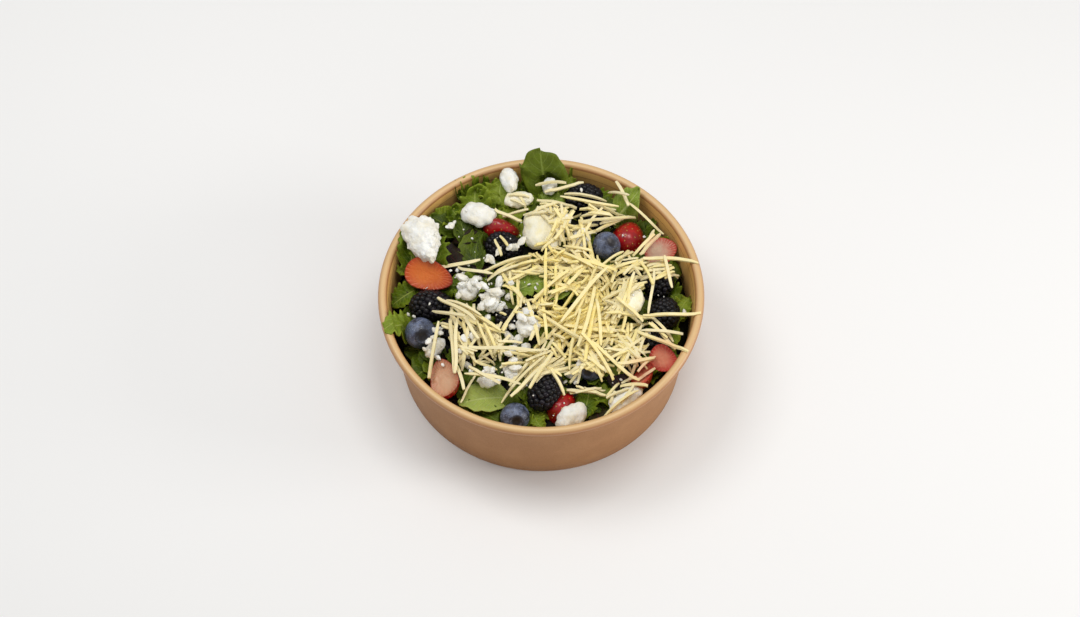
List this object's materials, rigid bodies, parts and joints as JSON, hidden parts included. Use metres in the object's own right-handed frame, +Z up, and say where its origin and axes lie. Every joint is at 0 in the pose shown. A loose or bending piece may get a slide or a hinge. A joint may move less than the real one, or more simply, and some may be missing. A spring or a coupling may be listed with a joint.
{
  "type": "bowl of berry feta salad",
  "caption": "Mixed leaf salad with bramble berries, blueberries, cut strawberries, crumbled feta and shredded cheese, heaped in a round rolled-rim paper take-away bowl.",
  "frame": {"origin": "middle of the bowl's foot, at the height of the table", "axes": "+Z up, +X to the right of someone who looks at the side shown, +Y away from them"},
  "size_m": [0.165, 0.165, 0.0722],
  "materials": {
    "kraft_paper": "brown kraft board with a satin lining",
    "leaf": null,
    "shredded_cheese": null,
    "bramble": null,
    "blueberry": null,
    "strawberry": null,
    "feta": null
  },
  "bodies": {
    "root": {"bowl": "kraft_paper", "salad_leaves": "leaf", "cheese_shreds": "shredded_cheese", "bramble_1": "bramble", "bramble_2": "bramble", "bramble_3": "bramble", "bramble_4": "bramble", "bramble_5": "bramble", "bramble_6": "bramble", "bramble_7": "bramble", "bramble_8": "bramble", "bramble_9": "bramble", "bramble_10": "bramble", "bramble_11": "bramble", "bramble_12": "bramble", "blueberry_1": "blueberry", "blueberry_2": "blueberry", "blueberry_3": "blueberry", "blueberry_4": "blueberry", "strawberry_1": "strawberry", "strawberry_2": "strawberry", "strawberry_3": "strawberry", "strawberry_4": "strawberry", "strawberry_5": "strawberry", "strawberry_6": "strawberry", "strawberry_7": "strawberry", "strawberry_8": "strawberry", "feta_1": "feta", "feta_2": "feta", "feta_3": "feta", "feta_4": "feta", "feta_5": "feta", "feta_6": "feta", "feta_7": "feta", "feta_8": "feta", "feta_9": "feta", "feta_10": "feta", "feta_11": "feta", "feta_12": "feta", "feta_13": "feta", "feta_14": "feta", "feta_15": "feta", "feta_16": "feta", "feta_17": "feta"}
  },
  "joints": []
}
